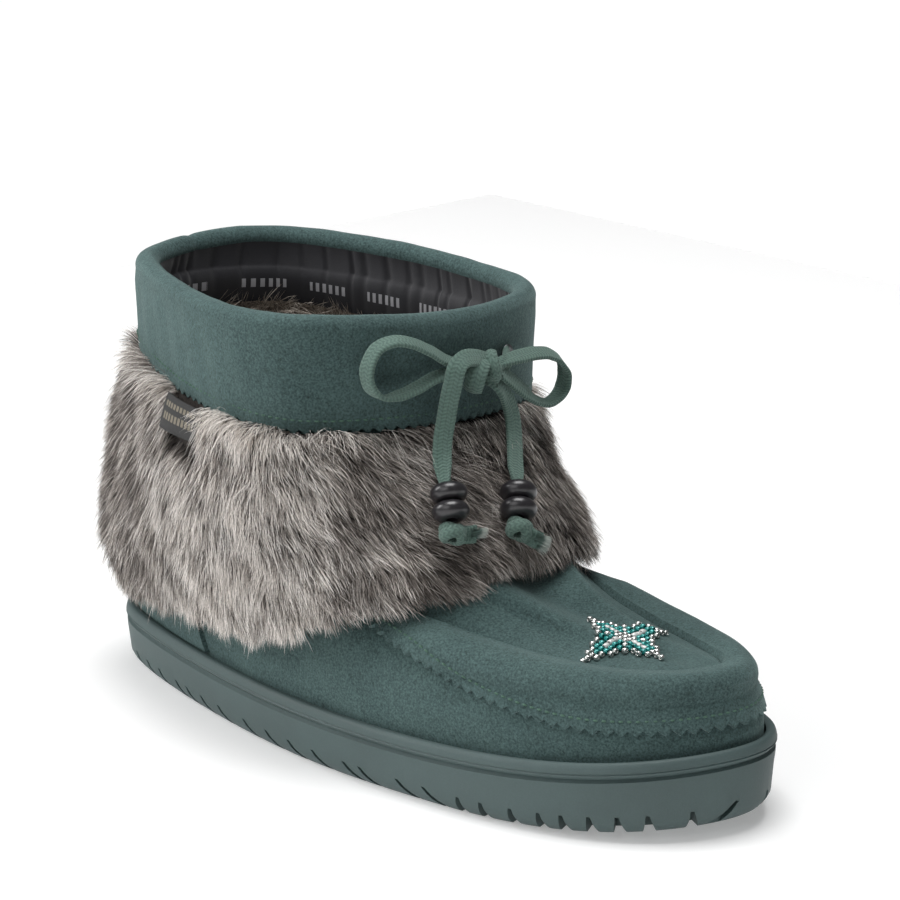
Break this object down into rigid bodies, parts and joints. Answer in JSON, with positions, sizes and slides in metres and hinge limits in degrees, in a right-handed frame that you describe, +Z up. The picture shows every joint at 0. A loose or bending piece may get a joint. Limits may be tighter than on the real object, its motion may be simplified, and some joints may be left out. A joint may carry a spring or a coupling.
{
  "type": "fur-trimmed moccasin ankle boot",
  "caption": "Right ankle boot in suede on a moulded rubber cup sole, with a moccasin toe, beaded star, deep fur band, padded cuff and a tied flat lace ending in beads.",
  "frame": {"origin": "On the flat tread under the middle of the sole's length, on the plane it stands on.", "axes": "+X to the toe, +Z up. The lateral side, which the picture shows, faces -Y."},
  "size_m": [0.2856, 0.1347, 0.1551],
  "materials": {
    "rubber": "matte moulded",
    "suede": "napped suede",
    "footbed": "pile",
    "fur": "long hair",
    "beadwork": "glossy opaque glass beads",
    "label": "woven",
    "gunmetal": "satin",
    "lace": "flat braid",
    "bead_black": "satin"
  },
  "bodies": {
    "root": {"outsole": "rubber", "insole": "footbed", "upper": "suede", "vamp_roll": "suede", "apron": "suede", "heel_counter": "suede", "fur_band": "fur", "cuff": "suede", "bead_star": "beadwork", "label_tab": "label", "eyelet_left": "gunmetal", "eyelet_right": "gunmetal", "lace_bar_right": "lace", "lace_knot": "lace", "lace_loop_left": "lace", "lace_end_left": "lace", "bead_left_upper": "bead_black", "bead_left_lower": "bead_black", "end_knot_left": "lace", "lace_loop_right": "lace", "lace_end_right": "lace", "bead_right_upper": "bead_black", "bead_right_lower": "bead_black", "end_knot_right": "lace"}
  },
  "joints": []
}
